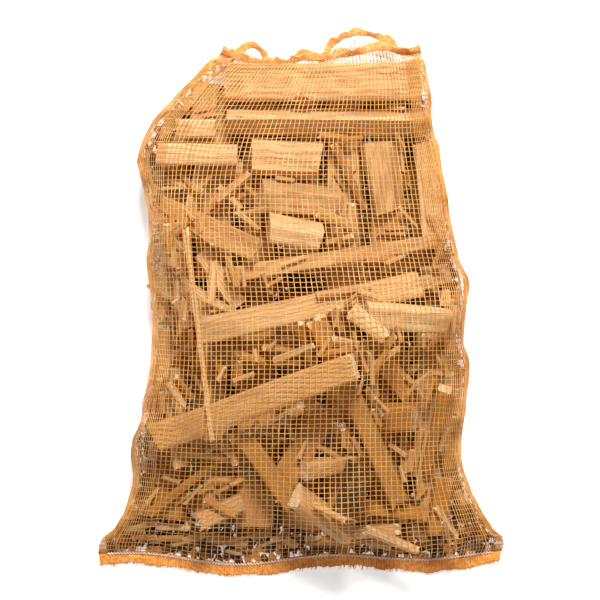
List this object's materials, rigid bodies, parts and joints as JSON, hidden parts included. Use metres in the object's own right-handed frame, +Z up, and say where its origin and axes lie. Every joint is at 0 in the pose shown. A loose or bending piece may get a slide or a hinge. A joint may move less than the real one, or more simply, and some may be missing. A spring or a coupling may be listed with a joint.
{
  "type": "net sack of firewood",
  "caption": "Orange net sack, hemmed at the foot and frilled at the mouth, filled with short split firewood sticks and lying on its back.",
  "frame": {"origin": "on the floor, under the middle of the sack's length and width", "axes": "+Z up from the floor, +Y from the sack's hemmed foot to its mouth, +X to the right when seen from above with the mouth at the top"},
  "size_m": [0.4106, 0.5536, 0.139],
  "materials": {
    "split_wood": "rough split, pale yellow to tan, with long grain and sawn ends",
    "bark_wood": "rough grey-brown bark on one face",
    "net_thread": "flat orange plastic tapes, slightly shiny",
    "hem_weave": "dense orange weave",
    "seam_thread": "off-white stitching thread"
  },
  "bodies": {
    "root": {"base_log_1": "split_wood", "base_log_2": "split_wood", "base_log_3": "split_wood", "base_log_4": "split_wood", "base_log_5": "split_wood", "base_log_6": "split_wood", "base_log_7": "split_wood", "base_log_8": "split_wood", "base_log_9": "split_wood", "base_log_10": "split_wood", "base_log_11": "split_wood", "base_log_12": "split_wood", "base_log_13": "split_wood", "base_log_14": "split_wood", "cross_split_1": "split_wood", "cross_split_2": "split_wood", "cross_split_3": "split_wood", "dark_split_1": "split_wood", "corner_split_1": "split_wood", "corner_split_2": "split_wood", "prop_split_1": "split_wood", "cross_split_4": "split_wood", "cross_split_5": "split_wood", "cross_split_6": "split_wood", "cross_split_7": "split_wood", "foot_split_1": "split_wood", "foot_split_2": "split_wood", "foot_split_4": "split_wood", "cross_split_8": "split_wood", "cross_split_9": "split_wood", "cross_split_10": "split_wood", "cross_split_11": "split_wood", "side_split_1": "split_wood", "top_log_1": "split_wood", "top_log_2": "split_wood", "fan_split_1": "split_wood", "fan_split_2": "split_wood", "cut_block_1": "split_wood", "cut_block_2": "split_wood", "cut_block_3": "split_wood", "cut_block_4": "split_wood", "cut_block_6": "split_wood", "cut_block_7": "split_wood", "side_split_2": "split_wood", "middle_split_1": "split_wood", "middle_split_2": "split_wood", "middle_split_3": "split_wood", "long_split_1": "split_wood", "long_split_2": "split_wood", "foot_log": "split_wood", "bark_split": "bark_wood", "top_split_3": "split_wood", "top_split_1": "split_wood", "long_split_3": "split_wood", "top_split_2": "split_wood", "thin_split": "split_wood", "net_sack": "net_thread", "bottom_hem": "hem_weave", "seam_thread": "seam_thread", "mouth_hem": "hem_weave"}
  },
  "joints": []
}
